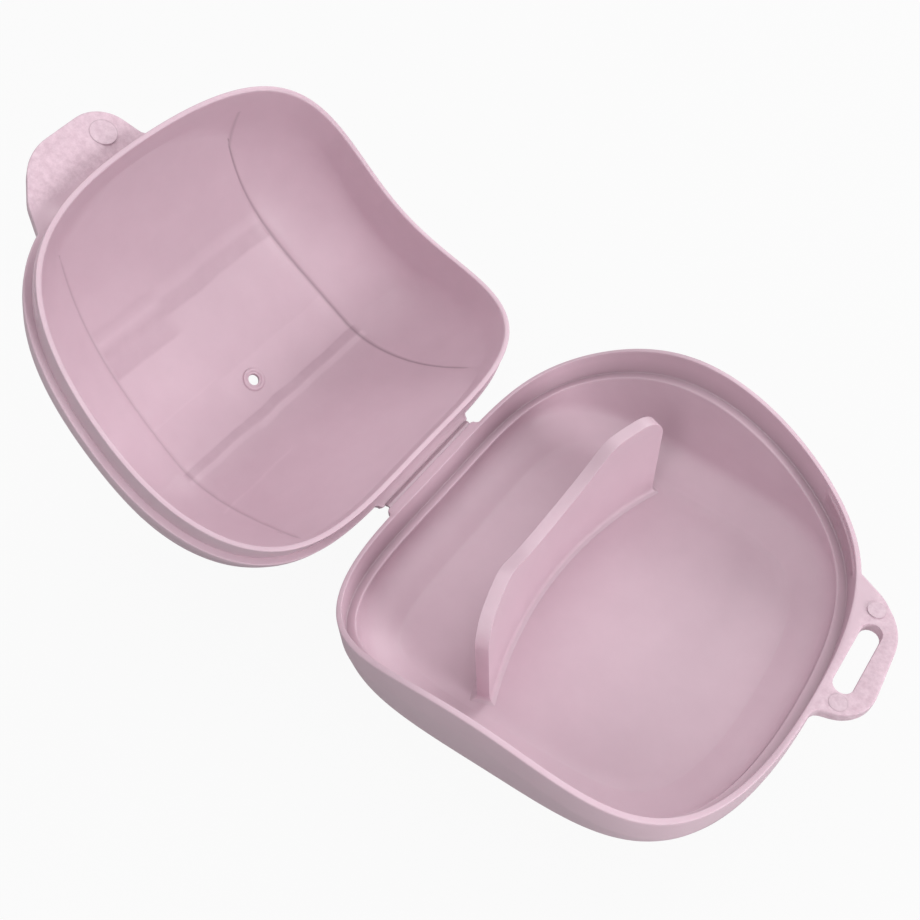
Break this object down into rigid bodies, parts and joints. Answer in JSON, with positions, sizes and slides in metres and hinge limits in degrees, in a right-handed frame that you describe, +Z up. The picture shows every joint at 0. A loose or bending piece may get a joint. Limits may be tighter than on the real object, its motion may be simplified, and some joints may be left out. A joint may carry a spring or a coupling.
{
  "type": "pacifier sterilizer case",
  "caption": "Small two-part plastic case with a living hinge, an inner divider, a steam vent, a lift tab and a carry loop, for storing and steam sterilizing a pacifier.",
  "frame": {"origin": "on the flat foot of the base, under the middle of the case's outline seen from above", "axes": "+X from the hinge towards the carry loop, +Y along the hinge, +Z up from the table; the lid is open and leans back on the table"},
  "size_m": [0.1212, 0.0632, 0.0495],
  "materials": {
    "case_plastic": "satin",
    "hinge_plastic": "satin"
  },
  "bodies": {
    "base": {"base_shell": "case_plastic", "base_snap_beads": "case_plastic", "divider": "case_plastic", "carry_loop": "case_plastic", "base_hinge_leaf": "hinge_plastic", "hinge_film": "hinge_plastic"},
    "lid": {"lid_shell": "case_plastic", "lid_tongue": "case_plastic", "lid_snap_beads": "case_plastic", "lift_tab": "case_plastic", "lid_hinge_leaf": "hinge_plastic", "vent_boss": "case_plastic"}
  },
  "joints": [
    {"name": "lid_hinge", "type": "hinge", "parent": "base", "child": "lid", "pos_m": [-0.0299, 0, 0.011], "axis": [0, 1, 0], "range_deg": [-35.3, 144.7]}
  ]
}
